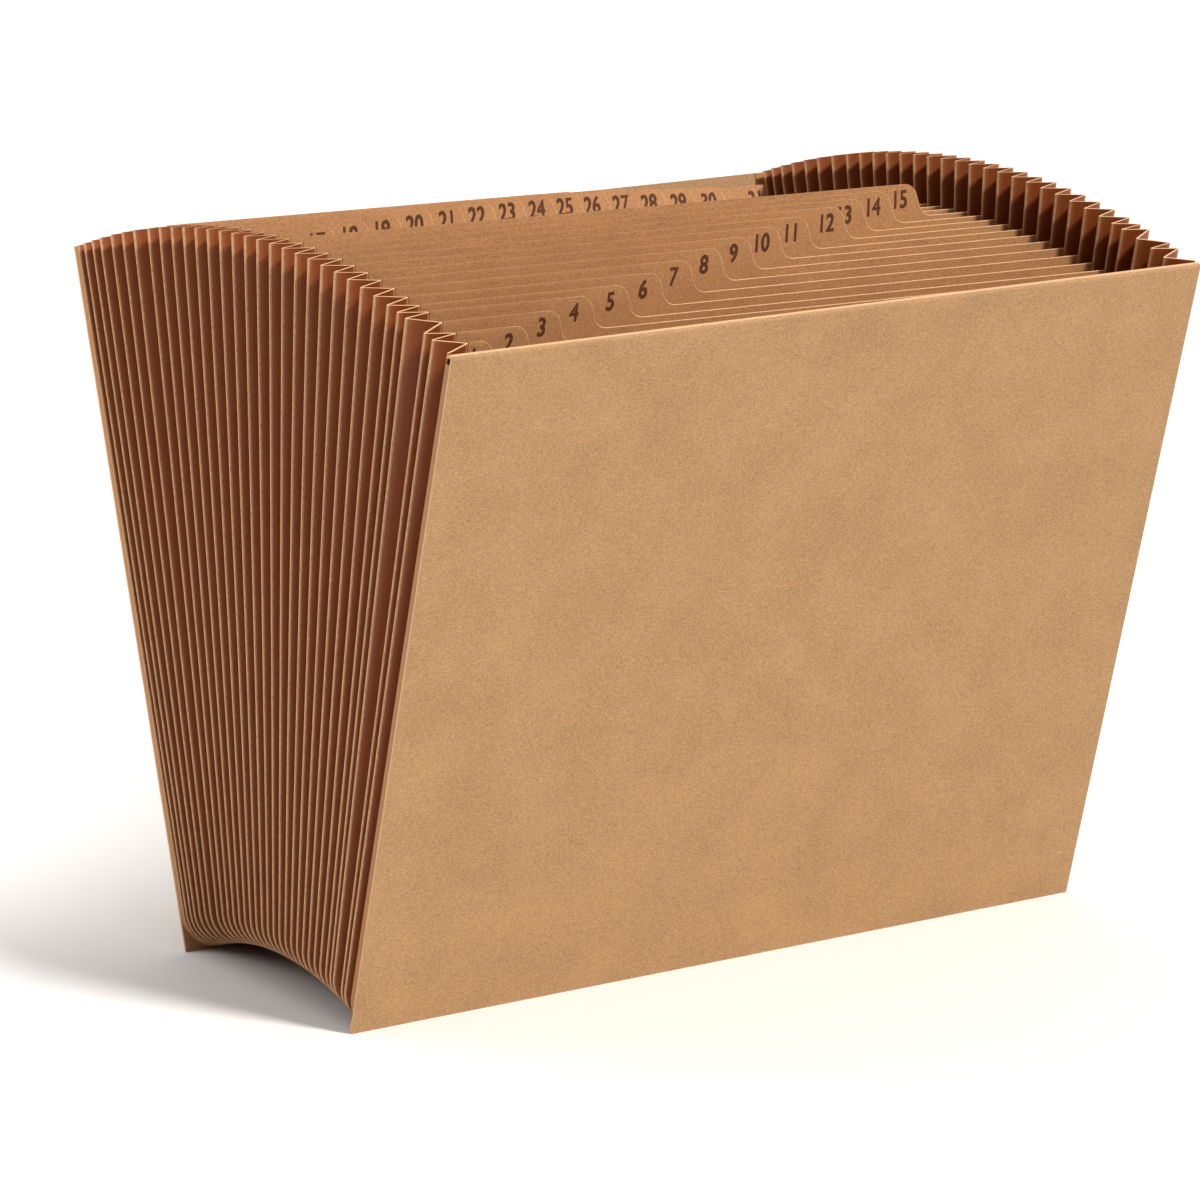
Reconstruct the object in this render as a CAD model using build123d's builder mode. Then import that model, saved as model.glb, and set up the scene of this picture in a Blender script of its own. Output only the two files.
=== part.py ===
from build123d import *
from math import cos, hypot, radians, sin, tan
import os

# Expanding file: two covers, numbered dividers and one pleated bellows that joins them on three sides.
# X runs along the width, -Y is the front, +Z is up and the file stands on Z = 0.
# The panels stand in a fan: each one lies in a plane through one axis, parallel to X and below the floor.

# Covers
WIDTH = 304.8
HEIGHT = 253.2
COVER_T = 0.9
HEM_RETURN = 18.0
HEM_EASE = 4.5

# Bellows
PLEAT_DEPTH = 10.5
BELLOWS_T = 0.3
ARCH_RADIUS = 197.5
ARCH_CROWN = 2.1
FAN_HALF_DEG = 16.1
FLOOR_LIFT = 0.4

# End flaps that glue the bellows to the covers
FLAP_STEP = 2.2
FLAP_T = 0.4
FLAP_W = 11.5
FLAP_TOP_GAP = 0.4

# Dividers with step-cut tabs
DIVIDERS = 31
TABS_IN_ROW = 15
DIVIDER_T = 0.4
DIVIDER_GAP = 0.3
DIVIDER_CORNER_R = 2.0
TAB_RISE = 0.3
TAB_FALL = 5.5
TAB_STEP = 12.2
FIRST_STEP_X = 8.4
LAST_STEP_X = 24.8
STEP_RUN = 4.0
STEP_R = 6.0

# Tabs that sit further along than their even place
ODD_TABS = {12: 3.5}

# Pockets that stand wider or tighter than the rest, as shares of the usual opening
USUAL_SHARE = 1.0
ODD_SHARES = {1: 1.15, 2: 0.6, 3: 1.4, 4: 0.6, 5: 0.75, 25: 1.25, 29: 0.75, 30: 0.75, 31: 0.55}

# Stations of the bellows: spans down each side and corner steps from side to bottom
SIDE_SPANS = 3
CORNER_STEPS = (0, 30, 60, 90)
FLAT_TOLERANCE = 1e-7

# Derived sizes
TOP_RADIUS = ARCH_RADIUS + HEIGHT
AXIS_Z = FLOOR_LIFT + FLAP_STEP * sin(radians(FAN_HALF_DEG)) - ARCH_RADIUS * cos(radians(FAN_HALF_DEG))
FOLD_X = WIDTH / 2 - PLEAT_DEPTH
CORNER_X = FOLD_X - DIVIDER_CORNER_R
CORNER_RADIUS = ARCH_RADIUS + PLEAT_DEPTH + DIVIDER_CORNER_R
RIDGE_R = PLEAT_DEPTH + DIVIDER_CORNER_R
DIVIDER_X = FOLD_X - DIVIDER_GAP
TAB_PITCH = (2 * FOLD_X - FIRST_STEP_X - LAST_STEP_X) / (TABS_IN_ROW - 1)
COVER_OUT = FLAP_STEP + COVER_T
HEM_R = COVER_OUT / 2
SHARES = [ODD_SHARES.get(n, USUAL_SHARE) for n in range(1, DIVIDERS + 1)]
GAPS_DEG = [2 * FAN_HALF_DEG * share / sum(SHARES) for share in SHARES]
MEAN_GAP_DEG = 2 * FAN_HALF_DEG / DIVIDERS

os.makedirs("parts", exist_ok=True)


def radial(angle):
    return Vector(0, sin(radians(angle)), cos(radians(angle)))


def forward(angle):
    return Vector(0, -cos(radians(angle)), sin(radians(angle)))


def fan_point(x, radius, angle):
    return Vector(x, 0, AXIS_Z) + radial(angle) * radius


def crown(angle):
    # The middle of the arch rises a little over a circle about the fan axis
    return ARCH_CROWN * (1 - (angle / FAN_HALF_DEG) ** 2)


def panel_plane(angle):
    # Local x is the width, local y the distance from the fan axis less the crown, local z faces the front
    return Plane(origin=fan_point(0, crown(angle), angle), x_dir=(1, 0, 0), z_dir=forward(angle))


def divider_angle(number):
    return -FAN_HALF_DEG + sum(GAPS_DEG[: number - 1]) + GAPS_DEG[number - 1] / 2


def fold_run(reach):
    # Thickness of a pleat wall measured along the pleat's depth
    half = reach * tan(radians(MEAN_GAP_DEG / 2))
    return BELLOWS_T * hypot(half, PLEAT_DEPTH) / half


# Bellows: one V-fold for each divider, running down one side, across the bottom and up the other side
def flat_wall_x(ridge_from, ridge_to, valley_from, valley_to):
    # A wall between two stations is flat where its ridge and valley would meet the fan axis at one point
    slope = (ridge_to[0] - ridge_from[0]) / (ridge_to[1] - ridge_from[1])
    meet = ridge_from[0] - slope * ridge_from[1]
    return meet + (valley_from[0] - meet) * valley_to[1] / valley_from[1]


def side_stations():
    # Outer and inner ridge, outer and inner valley: x and distance from the axis, down a side and corner
    drop = (TOP_RADIUS - CORNER_RADIUS) / SIDE_SPANS
    places = [(TOP_RADIUS - drop * span, 0) for span in range(SIDE_SPANS)]
    places += [(CORNER_RADIUS, turn) for turn in CORNER_STEPS]
    stations = []
    for radius, turn in places:
        run = fold_run(radius - RIDGE_R * sin(radians(turn)))
        lines = []
        for reach in (RIDGE_R, RIDGE_R - run, DIVIDER_CORNER_R + run, DIVIDER_CORNER_R):
            lines.append((CORNER_X + reach * cos(radians(turn)), radius - reach * sin(radians(turn))))
        if turn:
            before = stations[-1]
            for ridge, valley in ((0, 2), (1, 3)):
                x = flat_wall_x(before[ridge], lines[ridge], before[valley], lines[valley])
                lines[valley] = (x, lines[valley][1])
        stations.append(lines)
    return stations


def fold_point(line, side, angle):
    return fan_point(side * line[0], line[1] + crown(angle), angle)


def zigzag(lines, side):
    # One station of the whole bellows, from front cover to back cover: outer points, then inner points
    ridge_out, ridge_in, valley_out, valley_in = lines
    angle = -FAN_HALF_DEG
    outer = [fold_point(ridge_out, side, angle)]
    inner = [fold_point(ridge_in, side, angle)]
    for gap in GAPS_DEG:
        outer.append(fold_point(valley_out, side, angle + gap / 2))
        inner.append(fold_point(valley_in, side, angle + gap / 2))
        angle += gap
        outer.append(fold_point(ridge_out, side, angle))
        inner.append(fold_point(ridge_in, side, angle))
    return outer + inner[::-1]


def wall_faces(a, b, c, d):
    # One flat face, or two along a diagonal where the four corners don't share a plane
    off_plane = abs((b - a).cross(c - a).normalized().dot(d - a))
    outlines = [(a, b, c, d)] if off_plane < FLAT_TOLERANCE else [(a, b, c), (a, c, d)]
    return [Face(Wire.make_polygon(outline, close=True)) for outline in outlines]


def bellows_faces():
    stations = [zigzag(lines, -1) for lines in side_stations()]
    stations += [zigzag(lines, 1) for lines in reversed(side_stations())]
    count = len(stations[0])
    faces = []
    for here, there in zip(stations, stations[1:]):
        for i in range(count):
            faces += wall_faces(here[i - 1], here[i], there[i], there[i - 1])
    for rim in (stations[0], stations[-1]):
        for i in range(count // 2 - 1):
            faces += wall_faces(rim[i], rim[i + 1], rim[-2 - i], rim[-1 - i])
    return faces


with BuildPart() as bellows:
    add(Solid(Shell(bellows_faces())))
bellows.part.label = "bellows"
export_step(bellows.part, "parts/bellows.step")


# Covers: a sheet cut level where it stands, and on the front one a rolled hem along the top
def cover_plane(angle, outward):
    # Section plane at one end of the width: local x points out of the file, local y away from the axis
    return Plane(
        origin=fan_point(outward * WIDTH / 2, 0, angle),
        x_dir=forward(angle) * outward,
        z_dir=(-outward, 0, 0),
    )


with BuildPart() as front_cover:
    with BuildSketch(cover_plane(-FAN_HALF_DEG, 1)) as sheet_section:
        with BuildLine():
            rise = Line(
                (FLAP_STEP + COVER_T / 2, ARCH_RADIUS - COVER_OUT),
                (FLAP_STEP + COVER_T / 2, TOP_RADIUS - HEM_R),
            )
            JernArc(rise @ 1, rise % 1, HEM_R - COVER_T / 2, 180)
        trace(line_width=COVER_T)
    extrude(amount=WIDTH)
    with BuildSketch(cover_plane(-FAN_HALF_DEG, 1).offset(FLAP_W)) as return_section:
        with BuildLine():
            Spline(
                (COVER_T / 2, TOP_RADIUS - HEM_R),
                (FLAP_STEP - COVER_T / 2, TOP_RADIUS - HEM_R - HEM_EASE),
                tangents=((0, -1), (0, -1)),
            )
            Line(
                (FLAP_STEP - COVER_T / 2, TOP_RADIUS - HEM_R - HEM_EASE),
                (FLAP_STEP - COVER_T / 2, TOP_RADIUS - HEM_RETURN),
            )
        trace(line_width=COVER_T)
    extrude(amount=WIDTH - 2 * FLAP_W)
    split(bisect_by=Plane.XY, keep=Keep.TOP)
front_cover.part.label = "front_cover"
export_step(front_cover.part, "parts/front_cover.step")

with BuildPart() as back_cover:
    with BuildSketch(cover_plane(FAN_HALF_DEG, -1)) as sheet_section:
        with Locations((FLAP_STEP, ARCH_RADIUS - COVER_OUT)):
            Rectangle(COVER_T, HEIGHT + COVER_OUT, align=(Align.MIN, Align.MIN))
    extrude(amount=WIDTH)
    split(bisect_by=Plane.XY, keep=Keep.TOP)
back_cover.part.label = "back_cover"
export_step(back_cover.part, "parts/back_cover.step")


# End flaps: the last pleat turns round the cover's edge and is glued flat inside it
def flap_outline(inset, top):
    low = ARCH_RADIUS + inset
    half = WIDTH / 2 - inset
    corner = max(RIDGE_R - inset, DIVIDER_CORNER_R)
    outline = FilletPolyline(
        (-half, top),
        (-half, low),
        (half, low),
        (half, top),
        radius=corner,
    )
    Line(outline @ 1, outline @ 0)


def end_flaps(angle, outward):
    top = TOP_RADIUS - (2 * HEM_R + FLAP_TOP_GAP if outward > 0 else FLAP_TOP_GAP)
    face = panel_plane(angle)
    glue_face = face.offset(outward * FLAP_STEP)
    with BuildPart() as flaps:
        with BuildSketch(face):
            with BuildLine():
                flap_outline(0, top)
            make_face()
            with BuildLine():
                flap_outline(FLAP_T, top + FLAP_T)
            make_face(mode=Mode.SUBTRACT)
        extrude(amount=outward * FLAP_STEP)
        with BuildSketch(glue_face):
            with BuildLine():
                flap_outline(0, top)
            make_face()
            with BuildLine():
                flap_outline(FLAP_W, top + FLAP_T)
            make_face(mode=Mode.SUBTRACT)
        extrude(amount=-outward * FLAP_T)
    return flaps


front_flaps = end_flaps(-FAN_HALF_DEG, 1)
front_flaps.part.label = "front_flaps"
export_step(front_flaps.part, "parts/front_flaps.step")

back_flaps = end_flaps(FAN_HALF_DEG, -1)
back_flaps.part.label = "back_flaps"
export_step(back_flaps.part, "parts/back_flaps.step")


# Dividers: each top edge stands high up to its number and then steps down to clear the tabs behind it
def tab_level(x):
    return TOP_RADIUS + TAB_RISE - TAB_FALL * (x + DIVIDER_X) / (2 * DIVIDER_X)


def divider_outline(number):
    low = CORNER_RADIUS - DIVIDER_CORNER_R + DIVIDER_GAP
    step_x = -FOLD_X + FIRST_STEP_X + TAB_PITCH * ((number - 1) % TABS_IN_ROW) + ODD_TABS.get(number, 0)
    corners = [(-DIVIDER_X, low), (DIVIDER_X, low)]
    radii = [DIVIDER_CORNER_R, DIVIDER_CORNER_R]
    if number <= 2 * TABS_IN_ROW:
        corners += [
            (DIVIDER_X, tab_level(DIVIDER_X) - TAB_STEP),
            (step_x + STEP_RUN, tab_level(step_x + STEP_RUN) - TAB_STEP),
            (step_x, tab_level(step_x)),
        ]
        radii += [0, STEP_R, STEP_R]
    else:
        corners += [(DIVIDER_X, tab_level(DIVIDER_X))]
        radii += [0]
    corners += [(-DIVIDER_X, tab_level(-DIVIDER_X))]
    radii += [0]
    return corners, radii


for number in range(1, DIVIDERS + 1):
    corners, radii = divider_outline(number)
    with BuildPart() as divider:
        with BuildSketch(panel_plane(divider_angle(number))):
            with BuildLine():
                FilletPolyline(*corners, radius=radii, close=True)
            make_face()
        extrude(amount=DIVIDER_T / 2, both=True)
    divider.part.label = f"divider_{number:02d}"
    export_step(divider.part, f"parts/divider_{number:02d}.step")
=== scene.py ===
import math

import bpy
import numpy as np
from bpy.props import FloatProperty, FloatVectorProperty, PointerProperty
from bpy.types import Operator, Panel, PropertyGroup
from mathutils import Matrix, Vector


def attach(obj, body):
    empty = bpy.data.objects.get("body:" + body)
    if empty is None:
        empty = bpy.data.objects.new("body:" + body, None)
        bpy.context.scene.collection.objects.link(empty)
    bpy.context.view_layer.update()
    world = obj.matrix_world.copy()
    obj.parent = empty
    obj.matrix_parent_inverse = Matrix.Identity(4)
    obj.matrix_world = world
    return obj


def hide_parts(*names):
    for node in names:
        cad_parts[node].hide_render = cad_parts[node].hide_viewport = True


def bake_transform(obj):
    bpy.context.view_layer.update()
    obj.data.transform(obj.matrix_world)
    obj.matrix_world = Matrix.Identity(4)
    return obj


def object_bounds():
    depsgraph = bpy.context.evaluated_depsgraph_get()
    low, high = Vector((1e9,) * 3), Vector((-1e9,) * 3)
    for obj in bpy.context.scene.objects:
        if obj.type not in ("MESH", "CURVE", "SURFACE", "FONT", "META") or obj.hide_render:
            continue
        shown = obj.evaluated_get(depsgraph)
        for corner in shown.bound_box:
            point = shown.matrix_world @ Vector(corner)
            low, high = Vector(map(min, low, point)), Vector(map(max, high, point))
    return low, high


bl_info = {
    "name": "Accordion File",
    "version": (1, 0, 0),
    "blender": (4, 5, 0),
    "location": "View3D > Sidebar > Accordion File",
    "description": "Dresses an expanding file: kraft covers, numbered dividers and a pleated bellows",
    "category": "Object",
}

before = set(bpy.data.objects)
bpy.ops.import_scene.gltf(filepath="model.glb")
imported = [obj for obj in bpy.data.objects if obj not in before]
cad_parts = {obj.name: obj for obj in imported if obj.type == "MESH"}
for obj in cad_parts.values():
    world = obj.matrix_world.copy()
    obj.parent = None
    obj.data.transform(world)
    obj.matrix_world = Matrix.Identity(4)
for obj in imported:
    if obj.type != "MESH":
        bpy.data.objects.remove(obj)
CAD_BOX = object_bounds()

MM = 0.001
DIVIDERS = 31
MIDDLE_DIVIDER = 16
TABS_IN_ROW = 15

# Pockets that stand wider or tighter than the rest, as shares of the usual opening
ODD_SHARES = {1: 1.15, 2: 0.6, 3: 1.4, 4: 0.6, 5: 0.75, 25: 1.25, 29: 0.75, 30: 0.75, 31: 0.55}

# Tabs and numbers that sit off their even place
ODD_TABS = {12: 3.5 * MM}
ODD_NUMBERS = {12: 3.5 * MM, 13: -0.8 * MM}

# Parts that the bellows is divided into down a side, round a lower corner and across half the bottom
SIDE_STEPS = 16
CORNER_STEPS = 8
BOTTOM_STEPS = 9

# Turns of the paper as it bends round a fold
FOLD_TURNS = tuple(math.radians(turn) for turn in (0, 24, 48, 72))

# Places along a pleat's wall from valley to ridge, each with the wear of its outer and inner skin
WALL_PLACES = ((0.07, 0.0, 0.12), (0.25, 0.0, 0.0), (0.5, 0.0, 0.0), (0.75, 0.0, 0.0), (0.93, 0.12, 0.0))

# Share of a pleat's fold at its ridge; its valleys are at 0 and 1
RIDGE = 0.5

# Each pleat and each of its skins shows another patch of paper, and each ridge wanders in its own way
PLEAT_SHIFT = 0.041
SKIN_SHIFT = 0.37
SEED_STEP = 3.7

# Edges of a pleat that turn by more than this stay sharp
SHARP_TURN = math.radians(60)

# Parts of the arc at a step's corner, and sides of a bead of fibres
ARC_STEPS = 8
BEAD_SIDES = 8

# Height of a digit against the size of its font, and the ink's clearance over the paper
DIGIT_SHARE = 0.73
INK_LIFT = 0.03 * MM

# A sheet faces along y and its raw edges don't, and the bellows' raw edges face along z: the axis, and
# how much of a surface's direction lies along it where the paper's face ends and its raw edge begins
SHEET_EDGES = ("Y", 0.75, 0.55)
BELLOWS_EDGES = ("Z", 0.8, 0.9)

# Sockets of a Mix node for colours: its share, the two colours and the result
MIX_SHARE, MIX_FIRST, MIX_SECOND, MIX_RESULT = 0, 6, 7, 2

# Brightness of the surroundings: an axis, the part of it over which the light changes, and the light
# at the start and the end of that part
SKY = (("X", -0.5, 0.5, 0.02, 0.24), ("Z", 0.35, 1.0, 0.0, 0.4), ("Y", 0.1, 0.7, 0.0, 0.5))

FLOOR_REACH = 9.0

# The camera, fitted to the photograph: angles in degrees, and the focal length in pixels of its frame
CAMERA_PLACE = (-1.05275, -1.59434, 0.57037)
CAMERA_HEADING, CAMERA_DOWN, CAMERA_ROLL = -33.0967, 13.2862, -0.2828
FOCAL_PIXELS, FRAME_PIXELS = 5515.14, 1200
SENSOR_WIDTH = 36.0
CAMERA_REACH = 50.0


def linear(code):
    """Linear RGBA of an sRGB hex colour."""
    parts = [int(code[i : i + 2], 16) / 255 for i in (1, 3, 5)]
    return tuple([c / 12.92 if c <= 0.04045 else ((c + 0.055) / 1.055) ** 2.4 for c in parts] + [1.0])


def toned(colour, share):
    """A darker or paler tone of a linear colour."""
    return tuple(min(1.0, c * share) for c in colour[:3]) + (1.0,)


class FileSizes(PropertyGroup):
    """Sizes of the file that the paper pieces follow."""

    width: FloatProperty(
        name="Width",
        description="Width over the outer folds",
        default=round(CAD_BOX[1].x - CAD_BOX[0].x, 5),
        unit="LENGTH",
    )
    height: FloatProperty(
        name="Height", description="Height of a cover along its slope", default=253.2 * MM, unit="LENGTH"
    )
    arch_radius: FloatProperty(
        name="Arch radius",
        description="Distance from the fan's axis to the bottom edges",
        default=197.5 * MM,
        unit="LENGTH",
    )
    crown: FloatProperty(
        name="Crown",
        description="Rise of the arch's middle over a circle about the fan's axis",
        default=2.1 * MM,
        unit="LENGTH",
    )
    fan_half: FloatProperty(
        name="Lean",
        description="Lean of each cover from upright",
        default=math.radians(16.1),
        unit="ROTATION",
    )
    flap_step: FloatProperty(
        name="Flap step",
        description="Depth of the end fold behind each cover",
        default=2.2 * MM,
        unit="LENGTH",
    )
    floor_lift: FloatProperty(
        name="Floor lift",
        description="Clearance of the end folds over the floor",
        default=0.4 * MM,
        unit="LENGTH",
    )
    pleat_depth: FloatProperty(
        name="Pleat depth",
        description="Depth of a pleat from ridge to valley",
        default=10.5 * MM,
        unit="LENGTH",
    )
    corner: FloatProperty(
        name="Divider corner",
        description="Corner radius of a divider and of the valleys",
        default=2.0 * MM,
        unit="LENGTH",
    )
    gusset_paper: FloatProperty(
        name="Gusset paper", description="Thickness of the bellows' paper", default=0.3 * MM, unit="LENGTH"
    )
    divider_paper: FloatProperty(
        name="Divider paper", description="Thickness of a divider", default=0.4 * MM, unit="LENGTH"
    )
    waviness: FloatProperty(
        name="Waviness",
        description="How far a ridge wanders to either side",
        default=1.1 * MM,
        unit="LENGTH",
    )
    bend: FloatProperty(
        name="Bend", description="Radius of the paper round a fold", default=0.42 * MM, unit="LENGTH"
    )


class TabSizes(PropertyGroup):
    """Sizes of the step-cut tabs and of the numbers printed on them."""

    digit_height: FloatProperty(
        name="Digit height", description="Height of a printed digit", default=6.6 * MM, unit="LENGTH"
    )
    squeeze: FloatProperty(
        name="Squeeze",
        description="Width of a digit against the plain font",
        default=0.78,
        subtype="FACTOR",
    )
    stroke: FloatProperty(
        name="Stroke", description="Extra width of every stroke", default=0.55 * MM, unit="LENGTH"
    )
    first_x: FloatProperty(
        name="First number",
        description="Place of the first number along the width",
        default=-139.2 * MM,
        unit="LENGTH",
    )
    pitch: FloatProperty(
        name="Pitch", description="Step from one number to the next", default=17.9 * MM, unit="LENGTH"
    )
    drop: FloatProperty(
        name="Drop",
        description="Distance from the tab's edge to the number's middle",
        default=5.4 * MM,
        unit="LENGTH",
    )
    rise: FloatProperty(
        name="Rise",
        description="Height of the tabs over the folds on the left",
        default=0.3 * MM,
        unit="LENGTH",
    )
    fall: FloatProperty(
        name="Fall", description="Fall of the tab line to the right", default=5.5 * MM, unit="LENGTH"
    )
    first_step: FloatProperty(
        name="First step",
        description="Distance from the folds on the left to the first step",
        default=8.4 * MM,
        unit="LENGTH",
    )
    step: FloatProperty(
        name="Step", description="Height of the step beside a tab", default=12.2 * MM, unit="LENGTH"
    )
    step_run: FloatProperty(
        name="Step run", description="Slant of the step along the width", default=4.0 * MM, unit="LENGTH"
    )
    step_radius: FloatProperty(
        name="Step radius", description="Rounding of the step's corners", default=6.0 * MM, unit="LENGTH"
    )
    edge_clearance: FloatProperty(
        name="Edge clearance",
        description="Gap between a divider's side and the fold",
        default=0.3 * MM,
        unit="LENGTH",
    )
    burr: FloatProperty(
        name="Burr",
        description="Radius of the fibres raised along a cut edge",
        default=0.25 * MM,
        unit="LENGTH",
    )
    worn_share: FloatProperty(
        name="Worn share",
        description="Burr left on the tall part of an edge, where hands have rubbed it down",
        default=0.3,
        subtype="FACTOR",
    )
    last_x: FloatProperty(
        name="Last number",
        description="Place of the last divider's number along the width",
        default=136.0 * MM,
        unit="LENGTH",
    )


class PaperColours(PropertyGroup):
    """Colours of the papers, the ink and the floor."""

    cover: FloatVectorProperty(
        name="Cover", description="Smooth kraft card", size=4, subtype="COLOR", default=linear("#B08960")
    )
    divider: FloatVectorProperty(
        name="Divider", description="Red kraft paper", size=4, subtype="COLOR", default=linear("#C39062")
    )
    gusset: FloatVectorProperty(
        name="Gusset",
        description="Red kraft bellows paper",
        size=4,
        subtype="COLOR",
        default=linear("#88441B"),
    )
    # Painted highlight: the bellows paper made paler where its end fold catches light, not worn
    flap: FloatVectorProperty(
        name="Flap",
        description="Bellows paper worn at its end fold",
        size=4,
        subtype="COLOR",
        default=linear("#B27843"),
    )
    cut: FloatVectorProperty(
        name="Cut edge",
        description="Pale raw edge of the sheet",
        size=4,
        subtype="COLOR",
        default=linear("#DDAF82"),
    )
    # Painted shade: darker than the divider's face, to hold down the light that the dividers' top edges
    # catch from above
    tab_edge: FloatVectorProperty(
        name="Tab edge",
        description="Handled edge of a divider",
        size=4,
        subtype="COLOR",
        default=linear("#9F7350"),
    )
    ink: FloatVectorProperty(
        name="Ink", description="Printed numbers", size=4, subtype="COLOR", default=linear("#593622")
    )
    floor: FloatVectorProperty(
        name="Floor",
        description="Seamless backdrop paper",
        size=4,
        subtype="COLOR",
        default=linear("#F4F3F1"),
    )


class FanLayout:
    """Places in the fan: each panel lies in a plane through one axis below the floor."""

    def __init__(self, sizes):
        shares = [ODD_SHARES.get(n, 1.0) for n in range(1, DIVIDERS + 1)]
        gaps = [2 * sizes.fan_half * share / sum(shares) for share in shares]
        self.ridges = [-sizes.fan_half + sum(gaps[:n]) for n in range(DIVIDERS + 1)]
        self.valleys = [self.ridges[n] + gaps[n] / 2 for n in range(DIVIDERS)]
        self.top = sizes.arch_radius + sizes.height
        self.axis = (
            sizes.floor_lift
            + sizes.flap_step * math.sin(sizes.fan_half)
            - sizes.arch_radius * math.cos(sizes.fan_half)
        )
        self.half, self.crown = sizes.fan_half, sizes.crown
        self.fold_x = sizes.width / 2 - sizes.pleat_depth
        self.corner_x = self.fold_x - sizes.corner
        self.corner_radius = sizes.arch_radius + sizes.pleat_depth + sizes.corner
        self.ridge_reach = sizes.pleat_depth + sizes.corner

    def point(self, x, reach, angle):
        """The point of the panel at that angle that lies at x and at that reach from the axis."""
        out = reach + self.crown * (1 - (angle / self.half) ** 2)
        return Vector((x, out * math.sin(angle), self.axis + out * math.cos(angle)))

    def panel(self, x, reach, angle, lift):
        """Matrix from a flat drawing (x right, y up) to the front of the panel at that angle."""
        out = Vector((0, -math.cos(angle), math.sin(angle)))
        up = Vector((0, math.sin(angle), math.cos(angle)))
        place = Matrix((Vector((1, 0, 0)), up, out)).transposed().to_4x4()
        place.translation = self.point(x, reach, angle) + out * lift
        return place


def put(tree, kind, links=(), **settings):
    """Adds a node, sets it up, and links or fills its sockets. A node that is linked gives its first
    output.
    """
    made = tree.nodes.new(kind)
    for name, value in settings.items():
        setattr(made, name, value)
    for socket, value in links:
        if isinstance(value, bpy.types.Node):
            value = value.outputs[0]
        if isinstance(value, bpy.types.NodeSocket):
            tree.links.new(value, made.inputs[socket])
        else:
            made.inputs[socket].default_value = value
    return made


def new_material(name):
    """A material with an empty tree, and that tree."""
    material = bpy.data.materials.new(name)
    material.use_nodes = True
    tree = material.node_tree
    tree.nodes.clear()
    return material, tree


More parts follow.
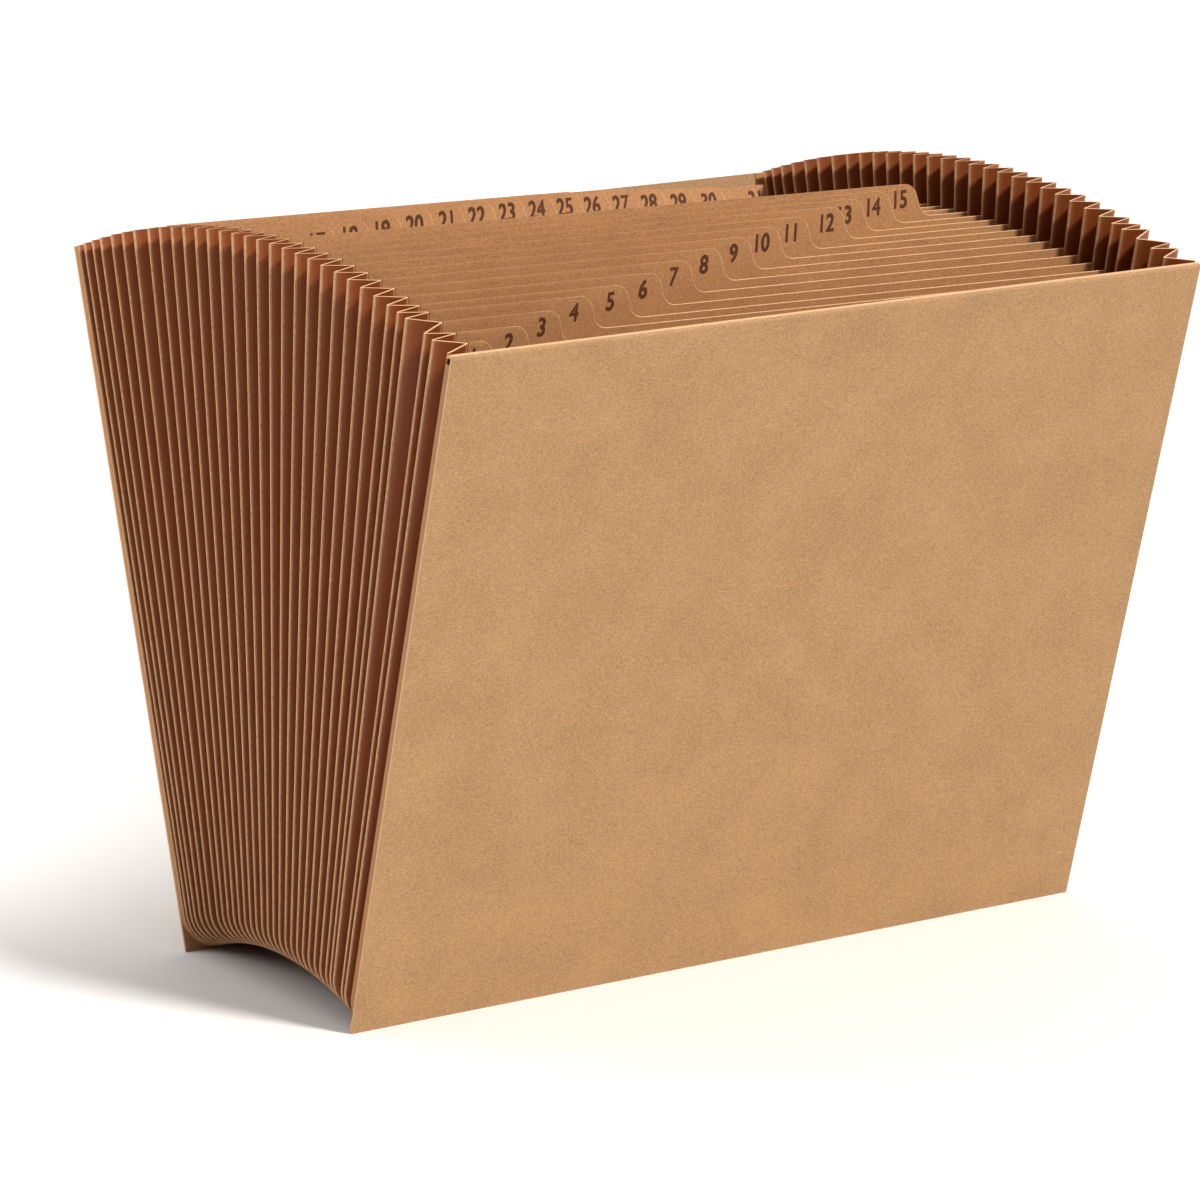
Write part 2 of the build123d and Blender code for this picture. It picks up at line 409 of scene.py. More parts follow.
def kraft_paper(name, colour, cut, edges, tone, speck, roughness, folded=False):
    """Machine-made kraft: long wood fibres give a fine speckle along the web, the pulp clouds softly over
    a few centimetres, single dark fibres show, and a cut edge or a rubbed fold takes the edge colour,
    which is paler than the face except on the dividers, where it is darker as painted shade.
    """
    material, tree = new_material(name)
    coords = put(tree, "ShaderNodeTexCoord")
    ground = coords.outputs["UV"] if folded else coords.outputs["Object"]
    # Clouds of about 22 mm, fibres of 0.5 mm drawn out to 0.8 mm along the web, specks of 0.9 mm
    clouds = put(
        tree,
        "ShaderNodeTexNoise",
        [("Vector", ground), ("Scale", 1 / (22 * MM)), ("Detail", 5.0), ("Roughness", 0.6)],
    )
    web = put(tree, "ShaderNodeMapping", [("Vector", ground), ("Scale", (0.6, 1.0, 1.0))])
    fibres = put(
        tree,
        "ShaderNodeTexNoise",
        [("Vector", web), ("Scale", 1 / (0.5 * MM)), ("Detail", 2.0), ("Roughness", 0.7)],
    )
    specks = put(
        tree,
        "ShaderNodeTexNoise",
        [("Vector", web), ("Scale", 1 / (0.9 * MM)), ("Detail", 1.0), ("Roughness", 0.4)],
    )
    # The pulp: clouds and fibres between a dark and a pale tone, with darker specks
    cloud_share = put(
        tree,
        "ShaderNodeMapRange",
        [("Value", clouds), ("From Min", 0.3), ("From Max", 0.7), ("To Min", 0.36), ("To Max", 0.64)],
    )
    fibre_share = put(
        tree,
        "ShaderNodeMapRange",
        [("Value", fibres), ("From Min", 0.3), ("From Max", 0.7), ("To Min", -0.5), ("To Max", 0.5)],
        clamp=False,
    )
    share = put(tree, "ShaderNodeMath", [(0, cloud_share), (1, fibre_share)], use_clamp=True)
    dark, pale = toned(colour, 1 - tone), toned(colour, 1 + 0.8 * tone)
    pulp = put(
        tree,
        "ShaderNodeMix",
        [(MIX_SHARE, share), (MIX_FIRST, dark), (MIX_SECOND, pale)],
        data_type="RGBA",
    ).outputs[MIX_RESULT]
    speck_share = put(
        tree,
        "ShaderNodeMapRange",
        [("Value", specks), ("From Min", 0.64), ("From Max", 0.78), ("To Max", speck)],
    )
    face = put(
        tree,
        "ShaderNodeMix",
        [(MIX_SHARE, speck_share), (MIX_FIRST, pulp), (MIX_SECOND, toned(colour, 0.5))],
        data_type="RGBA",
    ).outputs[MIX_RESULT]
    # Raw edges, by the way that they look, and folds that are rubbed in patches. The same mask paints the
    # dividers' top edges darker as painted shade, and the rounded top of a cover's hem pale as a painted
    # highlight
    axis, face_ends, edge_begins = edges
    looks = put(tree, "ShaderNodeSeparateXYZ", [(0, coords.outputs["Normal"])])
    turned = put(tree, "ShaderNodeMath", [(0, looks.outputs[axis])], operation="ABSOLUTE")
    rubbed = put(
        tree,
        "ShaderNodeMapRange",
        [("Value", turned), ("From Min", face_ends), ("From Max", edge_begins)],
    )
    if folded:
        fold = put(tree, "ShaderNodeAttribute", attribute_name="crease")
        patchy = put(
            tree,
            "ShaderNodeMapRange",
            [("Value", specks), ("From Min", 0.25), ("From Max", 0.6), ("To Min", 0.55)],
        )
        worn = put(
            tree,
            "ShaderNodeMath",
            [(0, fold.outputs["Fac"]), (1, patchy)],
            operation="MULTIPLY",
        )
        rubbed = put(tree, "ShaderNodeMath", [(0, rubbed), (1, worn)], operation="MAXIMUM", use_clamp=True)
    shade = put(
        tree,
        "ShaderNodeMix",
        [(MIX_SHARE, rubbed), (MIX_FIRST, face), (MIX_SECOND, tuple(cut))],
        data_type="RGBA",
    ).outputs[MIX_RESULT]
    dull = put(
        tree,
        "ShaderNodeMapRange",
        [("Value", clouds), ("To Min", roughness - 0.08), ("To Max", roughness + 0.08)],
    )
    grain = put(
        tree,
        "ShaderNodeBump",
        [("Height", fibres), ("Strength", 0.35), ("Distance", 0.06 * MM)],
    )
    skin = put(
        tree,
        "ShaderNodeBsdfPrincipled",
        [
            ("Base Color", shade),
            ("Roughness", dull),
            ("Normal", grain),
            ("IOR", 1.5),
            ("Specular IOR Level", 0.3),
        ],
    )
    put(tree, "ShaderNodeOutputMaterial", [("Surface", skin)])
    return material


def printing_ink(colour):
    """Flat offset ink soaked into paper: dark brown, with paler pinholes where the fibres lift."""
    material, tree = new_material("Offset ink on kraft")
    coords = put(tree, "ShaderNodeTexCoord")
    # Pinholes of about 0.5 mm, as coarse as they need to be to show
    holes = put(
        tree,
        "ShaderNodeTexNoise",
        [("Vector", coords.outputs["Object"]), ("Scale", 1 / (0.5 * MM)), ("Detail", 2.0)],
    )
    thin = put(
        tree,
        "ShaderNodeMapRange",
        [("Value", holes), ("From Min", 0.5), ("From Max", 0.75), ("To Max", 0.5)],
    )
    tone = put(
        tree,
        "ShaderNodeMix",
        [(MIX_SHARE, thin), (MIX_FIRST, tuple(colour)), (MIX_SECOND, toned(colour, 3.2))],
        data_type="RGBA",
    ).outputs[MIX_RESULT]
    skin = put(
        tree,
        "ShaderNodeBsdfPrincipled",
        [("Base Color", tone), ("Roughness", 0.62), ("IOR", 1.5), ("Specular IOR Level", 0.3)],
    )
    put(tree, "ShaderNodeOutputMaterial", [("Surface", skin)])
    return material


def backdrop_paper(colour):
    """Seamless studio paper: matt, near white, with a faint unevenness."""
    material, tree = new_material("Seamless backdrop paper")
    coords = put(tree, "ShaderNodeTexCoord")
    # Clouds of about 300 mm
    clouds = put(
        tree,
        "ShaderNodeTexNoise",
        [("Vector", coords.outputs["Object"]), ("Scale", 1 / (300 * MM)), ("Detail", 3.0)],
    )
    tone = put(
        tree,
        "ShaderNodeMix",
        [(MIX_SHARE, clouds), (MIX_FIRST, toned(colour, 0.97)), (MIX_SECOND, tuple(colour))],
        data_type="RGBA",
    ).outputs[MIX_RESULT]
    skin = put(
        tree,
        "ShaderNodeBsdfPrincipled",
        [("Base Color", tone), ("Roughness", 0.9), ("Specular IOR Level", 0.1)],
    )
    put(tree, "ShaderNodeOutputMaterial", [("Surface", skin)])
    return material


def dress(node, material):
    """Gives a CAD piece its finished material."""
    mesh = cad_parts[node].data
    mesh.materials.clear()
    mesh.materials.append(material)


def body_name(number):
    """The body that carries a divider."""
    return "middle_divider" if number == MIDDLE_DIVIDER else f"divider_{number:02d}"


def rule_tree(name, inputs):
    """An empty rule with named inputs: geometry in, geometry out."""
    tree = bpy.data.node_groups.new(name, "GeometryNodeTree")
    tree.is_modifier = True
    tree.interface.new_socket("Geometry", in_out="INPUT", socket_type="NodeSocketGeometry")
    for label, kind in inputs:
        tree.interface.new_socket(label, in_out="INPUT", socket_type=kind)
    tree.interface.new_socket("Geometry", in_out="OUTPUT", socket_type="NodeSocketGeometry")
    return tree


def end_rule(tree, shape, material):
    """Ends a rule: what it made as real geometry, in its material."""
    real = put(tree, "GeometryNodeRealizeInstances", [("Geometry", shape)])
    finished = put(tree, "GeometryNodeSetMaterial", [("Geometry", real), ("Material", material)])
    put(tree, "NodeGroupOutput", [("Geometry", finished)])


def made_by_rule(name, mesh, tree, values):
    """Runs the rule on a mesh and returns the result as a plain mesh object."""
    source = bpy.data.objects.new(name, mesh)
    bpy.context.scene.collection.objects.link(source)
    modifier = source.modifiers.new("Rule", "NODES")
    modifier.node_group = tree
    for item in tree.interface.items_tree:
        if item.in_out == "INPUT" and item.name in values:
            modifier[item.identifier] = values[item.name]
    graph = bpy.context.evaluated_depsgraph_get()
    plain = bpy.data.meshes.new_from_object(source.evaluated_get(graph), depsgraph=graph)
    source.modifiers.remove(modifier)
    source.data = plain
    plain.name = name
    bpy.data.meshes.remove(mesh)
    return source


def pleat_rule():
    """Folds a flat blank into its place in the fan: x stays, y is the share of the fold and z is the
    reach from the axis.
    """
    tree = rule_tree(
        "Fold a pleat",
        [
            ("Front angle", "NodeSocketFloat"),
            ("Ridge angle", "NodeSocketFloat"),
            ("Back angle", "NodeSocketFloat"),
            ("Axis height", "NodeSocketFloat"),
            ("Fan half", "NodeSocketFloat"),
            ("Crown", "NodeSocketFloat"),
            ("Waviness", "NodeSocketFloat"),
            ("Seed", "NodeSocketFloat"),
            ("Paper", "NodeSocketMaterial"),
        ],
    )
    given = put(tree, "NodeGroupInput").outputs
    here = put(tree, "GeometryNodeInputPosition")
    x, fold, reach = put(tree, "ShaderNodeSeparateXYZ", [(0, here)]).outputs
    # The angle goes from the front panel to the ridge, and from there on to the back panel
    to_ridge = put(
        tree,
        "ShaderNodeMapRange",
        [
            ("Value", fold),
            ("From Min", 0.0),
            ("From Max", RIDGE),
            ("To Min", given["Front angle"]),
            ("To Max", given["Ridge angle"]),
        ],
    )
    rest = put(
        tree,
        "ShaderNodeMath",
        [(0, given["Back angle"]), (1, given["Ridge angle"])],
        operation="SUBTRACT",
    )
    past_ridge = put(
        tree,
        "ShaderNodeMapRange",
        [("Value", fold), ("From Min", RIDGE), ("From Max", 1.0), ("To Min", 0.0), ("To Max", rest)],
    )
    turn = put(tree, "ShaderNodeMath", [(0, to_ridge), (1, past_ridge)])
    # The ridge wanders over about 70 mm, and not at all where it is glued to a divider
    along = put(tree, "ShaderNodeCombineXYZ", [(0, x), (2, reach)])
    wander = put(
        tree,
        "ShaderNodeTexNoise",
        [("Vector", along), ("W", given["Seed"]), ("Scale", 1 / (70 * MM)), ("Detail", 1.0)],
        noise_dimensions="4D",
    )
    to_side = put(tree, "ShaderNodeMath", [(0, wander), (1, 0.5)], operation="SUBTRACT")
    free = put(tree, "ShaderNodeMath", [(0, fold), (1, RIDGE)], operation="PINGPONG")
    drift = put(tree, "ShaderNodeMath", [(0, to_side), (1, given["Waviness"])], operation="MULTIPLY")
    drift = put(tree, "ShaderNodeMath", [(0, drift), (1, free)], operation="MULTIPLY")
    drift = put(tree, "ShaderNodeMath", [(0, drift), (1, reach)], operation="DIVIDE")
    angle = put(tree, "ShaderNodeMath", [(0, turn), (1, drift)])
    # The crown of the arch: full in the middle of the fan and nothing at the covers
    lean = put(tree, "ShaderNodeMath", [(0, turn), (1, given["Fan half"])], operation="DIVIDE")
    lean = put(tree, "ShaderNodeMath", [(0, lean), (1, lean)], operation="MULTIPLY")
    inward = put(tree, "ShaderNodeMath", [(0, 1.0), (1, lean)], operation="SUBTRACT")
    out = put(
        tree,
        "ShaderNodeMath",
        [(0, inward), (1, given["Crown"]), (2, reach)],
        operation="MULTIPLY_ADD",
    )
    back = put(tree, "ShaderNodeMath", [(0, angle)], operation="SINE")
    back = put(tree, "ShaderNodeMath", [(0, back), (1, out)], operation="MULTIPLY")
    up = put(tree, "ShaderNodeMath", [(0, angle)], operation="COSINE")
    up = put(
        tree,
        "ShaderNodeMath",
        [(0, up), (1, out), (2, given["Axis height"])],
        operation="MULTIPLY_ADD",
    )
    place = put(tree, "ShaderNodeCombineXYZ", [(0, x), (1, back), (2, up)])
    folded = put(tree, "GeometryNodeSetPosition", [("Geometry", given["Geometry"]), ("Position", place)])
    end_rule(tree, folded, given["Paper"])
    return tree


def number_rule():
    """Prints a number as a flat shape: the font's outline, squeezed and let out to a heavier stroke."""
    tree = rule_tree(
        "Print a number",
        [
            ("Number", "NodeSocketInt"),
            ("Size", "NodeSocketFloat"),
            ("Squeeze", "NodeSocketFloat"),
            ("Stroke", "NodeSocketFloat"),
            ("Ink", "NodeSocketMaterial"),
        ],
    )
    given = put(tree, "NodeGroupInput").outputs
    words = put(tree, "FunctionNodeValueToString", [("Value", given["Number"]), ("Decimals", 0)])
    letters = put(
        tree,
        "GeometryNodeStringToCurves",
        [("String", words), ("Size", given["Size"]), ("Character Spacing", 1.02)],
        align_x="CENTER",
        align_y="MIDDLE",
    )
    outline = put(tree, "GeometryNodeRealizeInstances", [("Geometry", letters.outputs["Curve Instances"])])
    narrow = put(tree, "ShaderNodeCombineXYZ", [(0, given["Squeeze"]), (1, 1.0), (2, 1.0)])
    shape = put(tree, "GeometryNodeTransform", [("Geometry", outline), ("Scale", narrow)])
    line = put(tree, "GeometryNodeResampleCurve", [("Curve", shape)], mode="EVALUATED")
    # Outlines run one way round a digit and the other way round its holes, so one side is always outwards
    along = put(tree, "GeometryNodeInputTangent")
    outwards = put(
        tree,
        "ShaderNodeVectorMath",
        [(0, along), (1, (0.0, 0.0, 1.0))],
        operation="CROSS_PRODUCT",
    )
    half = put(tree, "ShaderNodeMath", [(0, given["Stroke"]), (1, 0.5)], operation="MULTIPLY")
    let_out = put(tree, "ShaderNodeVectorMath", [(0, outwards), ("Scale", half)], operation="SCALE")
    heavy = put(tree, "GeometryNodeSetPosition", [("Geometry", line), ("Offset", let_out)])
    filled = put(tree, "GeometryNodeFillCurve", [("Curve", heavy)])
    end_rule(tree, filled, given["Ink"])
    return tree


def edge_rule():
    """Runs a thin bead of raised fibres along a cut edge; the attribute raised says how thick it is."""
    tree = rule_tree("Raise a cut edge", [("Burr", "NodeSocketFloat"), ("Paper", "NodeSocketMaterial")])
    given = put(tree, "NodeGroupInput").outputs
    line = put(tree, "GeometryNodeMeshToCurve", [("Mesh", given["Geometry"])])
    raised = put(tree, "GeometryNodeInputNamedAttribute", [("Name", "raised")], data_type="FLOAT")
    ring = put(
        tree,
        "GeometryNodeCurvePrimitiveCircle",
        [("Resolution", BEAD_SIDES), ("Radius", given["Burr"])],
    )
    bead = put(
        tree,
        "GeometryNodeCurveToMesh",
        [("Curve", line), ("Profile Curve", ring), ("Scale", raised), ("Fill Caps", True)],
    )
    end_rule(tree, bead, given["Paper"])
    return tree


def row_place(number):
    """Place of a divider's tab in its row, counted from 0 at the left."""
    return (number - 1) % TABS_IN_ROW


def tab_level(tabs, fan, x):
    """Reach of the tabs' top line at a place along the width."""
    return fan.top + tabs.rise - tabs.fall * (x + fan.fold_x) / (2 * fan.fold_x)


def rounded(before, corner, after, radius):
    """Points of an arc that rounds a corner between two straight lines."""
    before, corner, after = Vector(before), Vector(corner), Vector(after)
    to_before, to_after = (before - corner).normalized(), (after - corner).normalized()
    half = to_before.angle(to_after) / 2
    middle = corner + (to_before + to_after).normalized() * radius / math.sin(half)
    start = corner + to_before * radius / math.tan(half)
    swing = (math.pi - 2 * half) * (1 if to_before.cross(to_after) < 0 else -1)
    turns = [Matrix.Rotation(swing * i / ARC_STEPS, 2) for i in range(ARC_STEPS + 1)]
    return [middle + turn @ (start - middle) for turn in turns]


def tab_edge(tabs, fan, number):
    """The top edge of a divider from left to right, as x and reach."""
    end = fan.fold_x - tabs.edge_clearance
    if number == DIVIDERS:
        return [(x, tab_level(tabs, fan, x)) for x in (-end, end)]
    x = -fan.fold_x + tabs.first_step + tabs.pitch * row_place(number) + ODD_TABS.get(number, 0.0)
    foot = x + tabs.step_run
    left = (-end, tab_level(tabs, fan, -end))
    high = (x, tab_level(tabs, fan, x))
    low = (foot, tab_level(tabs, fan, foot) - tabs.step)
    right = (end, tab_level(tabs, fan, end) - tabs.step)
    line = rounded(left, high, low, tabs.step_radius) + rounded(high, low, right, tabs.step_radius)
    return [left] + [tuple(point) for point in line] + [right]


def raised_fibres(worn, count):
    """Thickness of the fibres at each point of a top edge: worn down on the tall part, rising over the
    arc at its end, and full from there on.
    """
    shoulder = 2 * worn
    rising = [shoulder + (1 - shoulder) * i / ARC_STEPS for i in range(ARC_STEPS + 1)]
    return ([worn] + rising + [1.0] * count)[:count]


def wall_run(sizes, reach):
    """Thickness of a pleat wall measured along the pleat's depth."""
    half = reach * math.tan(sizes.fan_half / DIVIDERS)
    return sizes.gusset_paper * math.hypot(half, sizes.pleat_depth) / half


def path_stations(fan):
    """Stations down the left side, round the corner, across the bottom and up again: share of the half
    width on that side, radius, turn from the side to the bottom, and the length of paper so far.
    """
    drop = fan.top - fan.corner_radius
    half = [(1.0, fan.top - drop * i / SIDE_STEPS, 0.0, drop * i / SIDE_STEPS) for i in range(SIDE_STEPS)]
    for i in range(CORNER_STEPS + 1):
        turn = math.pi / 2 * i / CORNER_STEPS
        half.append((1.0, fan.corner_radius, turn, drop + fan.ridge_reach * turn))
    length = half[-1][3]
    for i in range(1, BOTTOM_STEPS + 1):
        along = length + fan.corner_x * i / BOTTOM_STEPS
        half.append((1 - i / BOTTOM_STEPS, fan.corner_radius, math.pi / 2, along))
    total = 2 * half[-1][3]
    left = [(-side, radius, turn, along) for side, radius, turn, along in half]
    right = [(side, radius, turn, total - along) for side, radius, turn, along in half[-2::-1]]
    return left + right


def half_section(sizes, fan, half, run):
    """Columns from a valley to a ridge: share of the half gap, reach of both skins and wear of both skins.
    The paper bends round each fold: the outer skin is round at the ridge and the inner one at the valley.
    """
    bends = [
        (sizes.bend * math.sin(turn) / half, sizes.bend * (1 - math.cos(turn)), math.cos(turn / 2))
        for turn in FOLD_TURNS
    ]
    tail, dip, _ = bends[-1]
    low, high = sizes.corner, fan.ridge_reach

    def outer(share):
        return low + run + (high - dip - low - run) * share / (1 - tail)

    def inner(share):
        return low + dip + (high - run - low - dip) * (share - tail) / (1 - tail)

    columns = [(share, outer(share), low + down, 0.0, wear) for share, down, wear in bends]
    for place, outer_wear, inner_wear in WALL_PLACES:
        share = tail + (1 - 2 * tail) * place
        columns.append((share, outer(share), inner(share), outer_wear, inner_wear))
    for share, down, wear in reversed(bends):
        columns.append((1 - share, high - down, inner(1 - share), wear, 0.0))
    return columns


def pleat_section(sizes, fan, reach, front, back):
    """Columns across a pleat with its two half gaps as angles; an end pleat has only one half."""
    run = wall_run(sizes, reach)
    before = half_section(sizes, fan, reach * front, run) if front else []
    after = half_section(sizes, fan, reach * back, run)[::-1] if back else []
    columns = [(share / 2, *rest) for share, *rest in before]
    columns += [(1 - share / 2, *rest) for share, *rest in (after[1:] if before else after)]
    return columns


def pleat_blank(sizes, fan, front, back, shift):
    """The flat blank of a pleat as a closed double skin: x, fold share and reach from the axis. Attributes
    keep the fold share and the wear of the fold, and the UV map is the flat paper.
    """
    points, creases, spots = [], [], []
    stations = path_stations(fan)
    for side, radius, turn, along in stations:
        columns = pleat_section(sizes, fan, radius - fan.ridge_reach * math.sin(turn), front, back)
        for skin, row in enumerate((columns, columns[::-1])):
            for share, outer, inner, outer_wear, inner_wear in row:
                reach = (outer, inner)[skin]
                x = side * (fan.corner_x + reach * math.cos(turn))
                points.append((x, share, radius - reach * math.sin(turn)))
                creases.append((outer_wear, inner_wear)[skin])
                spots.append((along + skin * SKIN_SHIFT, share * 2 * sizes.pleat_depth + shift))
    ring = len(points) // len(stations)
    faces = []
    for i in range(len(stations) - 1):
        for j in range(ring):
            a, b = i * ring + j, i * ring + (j + 1) % ring
            faces.append((a, b, b + ring, a + ring))
    # The two ends, between the skins
    for end, turn_over in ((0, True), ((len(stations) - 1) * ring, False)):
        for j in range(ring // 2 - 1):
            corner = (end + j, end + j + 1, end + ring - 2 - j, end + ring - 1 - j)
            faces.append(corner[::-1] if turn_over else corner)
    mesh = bpy.data.meshes.new("pleat_blank")
    mesh.from_pydata(points, [], faces)
    mesh.update()
    shares = [share for _, share, _ in points]
    mesh.attributes.new("fold", "FLOAT", "POINT").data.foreach_set("value", shares)
    mesh.attributes.new("crease", "FLOAT", "POINT").data.foreach_set("value", creases)
    corners = np.zeros(len(mesh.loops), np.int32)
    mesh.loops.foreach_get("vertex_index", corners)
    mesh.uv_layers.new(name="paper").data.foreach_set("uv", np.array(spots, np.float32)[corners].ravel())
    return mesh


class FILE_OT_covers(Operator):
    """Finishes the two covers in smooth tan kraft card"""

    bl_idname = "accordion_file.covers"
    bl_label = "Covers"

    def execute(self, context):
        colours = context.scene.file_colours
        # The raw-edge mask gives the cut edges their truly pale colour, and also paints the rounded top of
        # the hem pale, a painted highlight
        card = kraft_paper(
            "Kraft card, calendered",
            colours.cover,
            colours.cut,
            SHEET_EDGES,
            tone=0.3,
            speck=0.25,
            roughness=0.62,
        )
        for node in ("front_cover", "back_cover"):
            dress(node, card)
        return {"FINISHED"}


class FILE_OT_dividers(Operator):
    """Finishes the step-cut dividers in red kraft paper and raises pale fibres along their top edges"""

    bl_idname = "accordion_file.dividers"
    bl_label = "Dividers"

    def execute(self, context):
        colours = context.scene.file_colours
        # The dividers' top edges take the darker tab edge colour: painted shade that holds down the light
        # they catch from above
        paper = kraft_paper(
            "Red kraft paper, die cut",
            colours.divider,
            colours.tab_edge,
            SHEET_EDGES,
            tone=0.26,
            speck=0.3,
            roughness=0.6,
        )
        fibres = kraft_paper(
            "Kraft fibres, cut edge",
            colours.cut,
            colours.cut,
            SHEET_EDGES,
            tone=0.2,
            speck=0.1,
            roughness=0.7,
        )
        tabs = context.scene.file_tabs
        fan = FanLayout(context.scene.file_sizes)
        rule = edge_rule()
        for n in range(1, DIVIDERS + 1):
            dress(f"divider_{n:02d}", paper)
            angle = fan.valleys[n - 1]
            points = [fan.point(x, reach - tabs.burr / 2, angle) for x, reach in tab_edge(tabs, fan, n)]
            line = bpy.data.meshes.new("edge_line")
            line.from_pydata(points, [(i, i + 1) for i in range(len(points) - 1)], [])
            raised = raised_fibres(tabs.worn_share, len(points))
            line.attributes.new("raised", "FLOAT", "POINT").data.foreach_set("value", raised)
            edge = made_by_rule(f"edge_{n:02d}", line, rule, {"Burr": tabs.burr, "Paper": fibres})
            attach(edge, body_name(n))
        return {"FINISHED"}


class FILE_OT_bellows(Operator):
    """Folds the bellows, one pleat for each pocket, and finishes the end flaps"""

    bl_idname = "accordion_file.bellows"
    bl_label = "Bellows"

    def execute(self, context):
        sizes = context.scene.file_sizes
        colours = context.scene.file_colours
        fan = FanLayout(sizes)
        paper = kraft_paper(
            "Red kraft paper, scored and folded",
            colours.gusset,
            colours.cut,
            BELLOWS_EDGES,
            tone=0.12,
            speck=0.2,
            roughness=0.52,
            folded=True,
        )
        # The flaps take the paler flap colour, a painted highlight on the bellows paper where its end fold
        # catches light
        flap = kraft_paper(
            "Red kraft paper, glued flap",
            colours.flap,
            colours.cut,
            BELLOWS_EDGES,
            tone=0.12,
            speck=0.2,
            roughness=0.52,
        )
        for node in ("front_flaps", "back_flaps"):
            dress(node, flap)
        rule = pleat_rule()
        for pocket in range(DIVIDERS + 1):
            ridge = fan.ridges[pocket]
            front = fan.valleys[pocket - 1] if pocket else ridge
            back = fan.valleys[pocket] if pocket < DIVIDERS else ridge
            pleat = made_by_rule(
                f"pleat_{pocket + 1:02d}",
                pleat_blank(sizes, fan, ridge - front, back - ridge, pocket * PLEAT_SHIFT),
                rule,
                {
                    "Front angle": front,
                    "Ridge angle": ridge,
                    "Back angle": back,
                    "Axis height": fan.axis,
                    "Fan half": sizes.fan_half,
                    "Crown": sizes.crown,
                    "Waviness": 0.0 if pocket in (0, DIVIDERS) else sizes.waviness,
                    "Seed": SEED_STEP * pocket,
                    "Paper": paper,
                },
            )
            for face in pleat.data.polygons:
                face.use_smooth = True
            pleat.data.set_sharp_from_angle(angle=SHARP_TURN)
            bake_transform(pleat)
            # Each point's share of the fold, 0 at the front panel and 1 at the back
            share = np.zeros(len(pleat.data.vertices), np.float32)
            pleat.data.attributes["fold"].data.foreach_get("value", share)
            share = (share - share.min()) / (share.max() - share.min())
            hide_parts("bellows")
        return {"FINISHED"}


class FILE_OT_numbers(Operator):
    """Prints the index numbers on the tabs"""

    bl_idname = "accordion_file.numbers"
    bl_label = "Tab numbers"

    def execute(self, context):
        sizes = context.scene.file_sizes
        tabs = context.scene.file_tabs
        fan = FanLayout(sizes)
        ink = printing_ink(context.scene.file_colours.ink)
        rule = number_rule()
        lift = sizes.divider_paper / 2 + INK_LIFT
        for n in range(1, DIVIDERS + 1):
            number = made_by_rule(
                f"number_{n:02d}",
                bpy.data.meshes.new("number_blank"),
                rule,
                {
                    "Number": n,
                    "Size": tabs.digit_height / DIGIT_SHARE,
                    "Squeeze": tabs.squeeze,
                    "Stroke": tabs.stroke,
                    "Ink": ink,
                },
            )
            spots = np.array([v.co for v in number.data.vertices])
            middle = (spots.min(axis=0) + spots.max(axis=0)) / 2
            number.data.transform(Matrix.Translation(-Vector(middle)))
            x = tabs.last_x if n == DIVIDERS else tabs.first_x + tabs.pitch * row_place(n)
            x += ODD_NUMBERS.get(n, 0.0)
            reach = tab_level(tabs, fan, x) - tabs.drop
            number.data.transform(fan.panel(x, reach, fan.valleys[n - 1], lift))
            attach(number, body_name(n))
        return {"FINISHED"}


def add_lamp(name, kind, colour, power, **settings):
    """A lamp of some kind with its settings, at the origin and shining down."""
    lamp = bpy.data.lights.new(name, kind)
    lamp.energy = power
    lamp.color = linear(colour)[:3]
    for setting, value in settings.items():
        setattr(lamp, setting, value)
    holder = bpy.data.objects.new(name, lamp)
    bpy.context.scene.collection.objects.link(holder)
    return holder


def soft_light(name, colour, power, toward, spread):
    """An even light from far away: toward points at it, and spread is its width in degrees."""
    holder = add_lamp(name, "SUN", colour, power, angle=math.radians(spread))
    holder.rotation_euler = Vector(toward).to_track_quat("Z", "Y").to_euler()


def near_light(name, colour, power, place, target, size):
    """A square lamp near the file that lights one side and the floor beside it."""
    holder = add_lamp(name, "AREA", colour, power, size=size)
    holder.location = place
    holder.rotation_euler = (Vector(place) - Vector(target)).to_track_quat("Z", "Y").to_euler()
    holder.visible_camera = False


def pool_light(name, colour, power, place, reach, size):
    """A lamp straight above the floor that lights a round patch, fading to nothing at its rim."""
    cone = 2 * math.atan(reach / place[2])
    holder = add_lamp(name, "SPOT", colour, power, spot_size=cone, spot_blend=1.0, shadow_soft_size=size)
    holder.location = place


def studio_world():
    """White surroundings, bright overhead and behind, and dim on the left, as beside a dark screen."""
    world = bpy.data.worlds.new("studio")
    world.use_nodes = True
    tree = world.node_tree
    tree.nodes.clear()
    way = put(tree, "ShaderNodeTexCoord").outputs["Generated"]
    ways = put(tree, "ShaderNodeSeparateXYZ", [(0, way)]).outputs
    white = 0.0
    for axis, start, end, first, last in SKY:
        glow = put(
            tree,
            "ShaderNodeMapRange",
            [
                ("Value", ways[axis]),
                ("From Min", start),
                ("From Max", end),
                ("To Min", first),
                ("To Max", last),
            ],
        )
        white = put(tree, "ShaderNodeMath", [(0, white), (1, glow)])
    sky = put(tree, "ShaderNodeBackground", [("Color", linear("#FFFFFF")), ("Strength", white)])
    put(tree, "ShaderNodeOutputWorld", [("Surface", sky)])
    return world


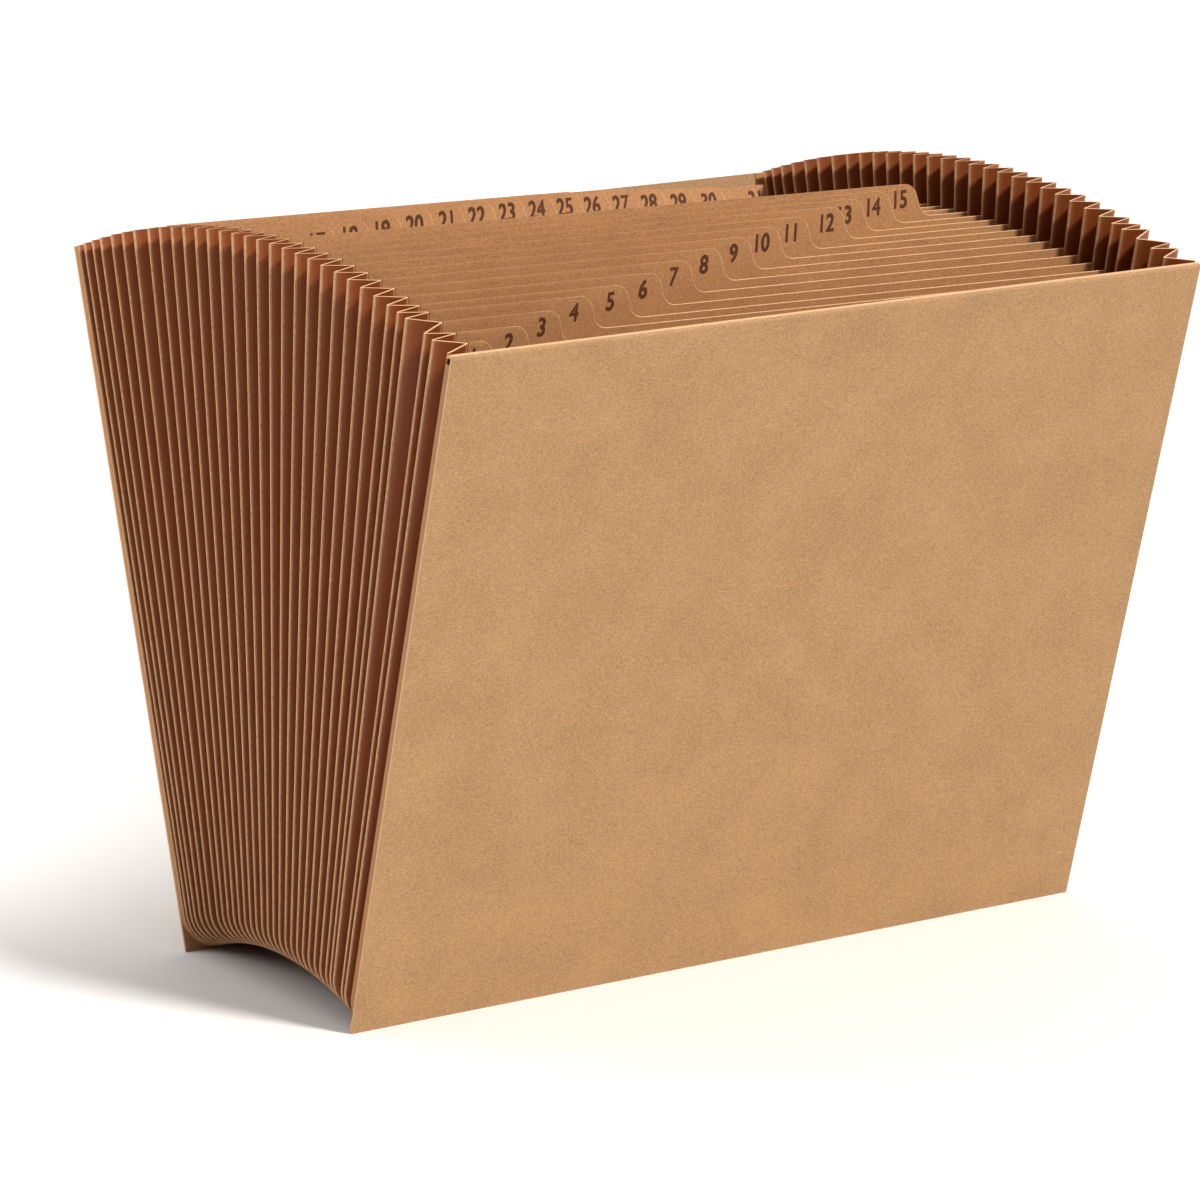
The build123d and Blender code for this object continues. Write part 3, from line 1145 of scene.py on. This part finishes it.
class FILE_OT_stage(Operator):
    """Sets the pale floor, the soft studio light and the camera at the photograph's angle"""

    bl_idname = "accordion_file.stage"
    bl_label = "Stage"

    def execute(self, context):
        scene = context.scene
        corners = ((-1, -1), (1, -1), (1, 1), (-1, 1))
        mesh = bpy.data.meshes.new("floor")
        mesh.from_pydata([(x * FLOOR_REACH, y * FLOOR_REACH, 0) for x, y in corners], [], [(0, 1, 2, 3)])
        floor = bpy.data.objects.new("floor", mesh)
        mesh.materials.append(backdrop_paper(scene.file_colours.floor))
        scene.collection.objects.link(floor)
        soft_light("key", "#FFFAF4", power=3.25, toward=(0.22, -0.64, 0.735), spread=9.0)
        soft_light("overhead", "#FFFFFF", power=0.5, toward=(0.1, -0.1, 0.99), spread=80.0)
        near_light(
            "left_rim",
            "#FFFFFF",
            power=1.0,
            place=(-0.6, 0.4, 0.36),
            target=(-0.24, 0.12, 0.04),
            size=0.3,
        )
        pool_light("floor_pool", "#FFFFFF", power=26.0, place=(-0.2, 0.36, 1.0), reach=0.31, size=0.05)
        scene.world = studio_world()
        scene.view_settings.view_transform = "Standard"
        lens = bpy.data.cameras.new("camera")
        lens.sensor_width = SENSOR_WIDTH
        lens.lens = SENSOR_WIDTH * FOCAL_PIXELS / FRAME_PIXELS
        lens.clip_end = CAMERA_REACH
        camera = bpy.data.objects.new("camera", lens)
        camera.matrix_world = (
            Matrix.Translation(CAMERA_PLACE)
            @ Matrix.Rotation(math.radians(CAMERA_HEADING), 4, "Z")
            @ Matrix.Rotation(math.radians(90 - CAMERA_DOWN), 4, "X")
            @ Matrix.Rotation(math.radians(CAMERA_ROLL), 4, "Z")
        )
        scene.collection.objects.link(camera)
        scene.camera = camera
        return {"FINISHED"}


class FILE_PT_panel(Panel):
    """Lists the steps and sizes of the accordion file"""

    bl_idname = "FILE_PT_accordion_file"
    bl_label = "Accordion File"
    bl_space_type = "VIEW_3D"
    bl_region_type = "UI"
    bl_category = "Accordion File"

    def draw(self, context):
        for step in STEPS:
            self.layout.operator(step.bl_idname)
        for group in (context.scene.file_sizes, context.scene.file_tabs, context.scene.file_colours):
            box = self.layout.box()
            for name in group.__annotations__:
                box.prop(group, name)


STEPS = (FILE_OT_covers, FILE_OT_dividers, FILE_OT_bellows, FILE_OT_numbers, FILE_OT_stage)
CLASSES = (FileSizes, TabSizes, PaperColours, *STEPS, FILE_PT_panel)


def register():
    for kind in CLASSES:
        bpy.utils.register_class(kind)
    bpy.types.Scene.file_sizes = PointerProperty(type=FileSizes)
    bpy.types.Scene.file_tabs = PointerProperty(type=TabSizes)
    bpy.types.Scene.file_colours = PointerProperty(type=PaperColours)


def unregister():
    del bpy.types.Scene.file_colours
    del bpy.types.Scene.file_tabs
    del bpy.types.Scene.file_sizes
    for kind in reversed(CLASSES):
        bpy.utils.unregister_class(kind)


def main():
    register()
    bpy.ops.accordion_file.covers()
    bpy.ops.accordion_file.dividers()
    bpy.ops.accordion_file.bellows()
    bpy.ops.accordion_file.numbers()
    bpy.ops.accordion_file.stage()


if __name__ == "__main__":
    main()
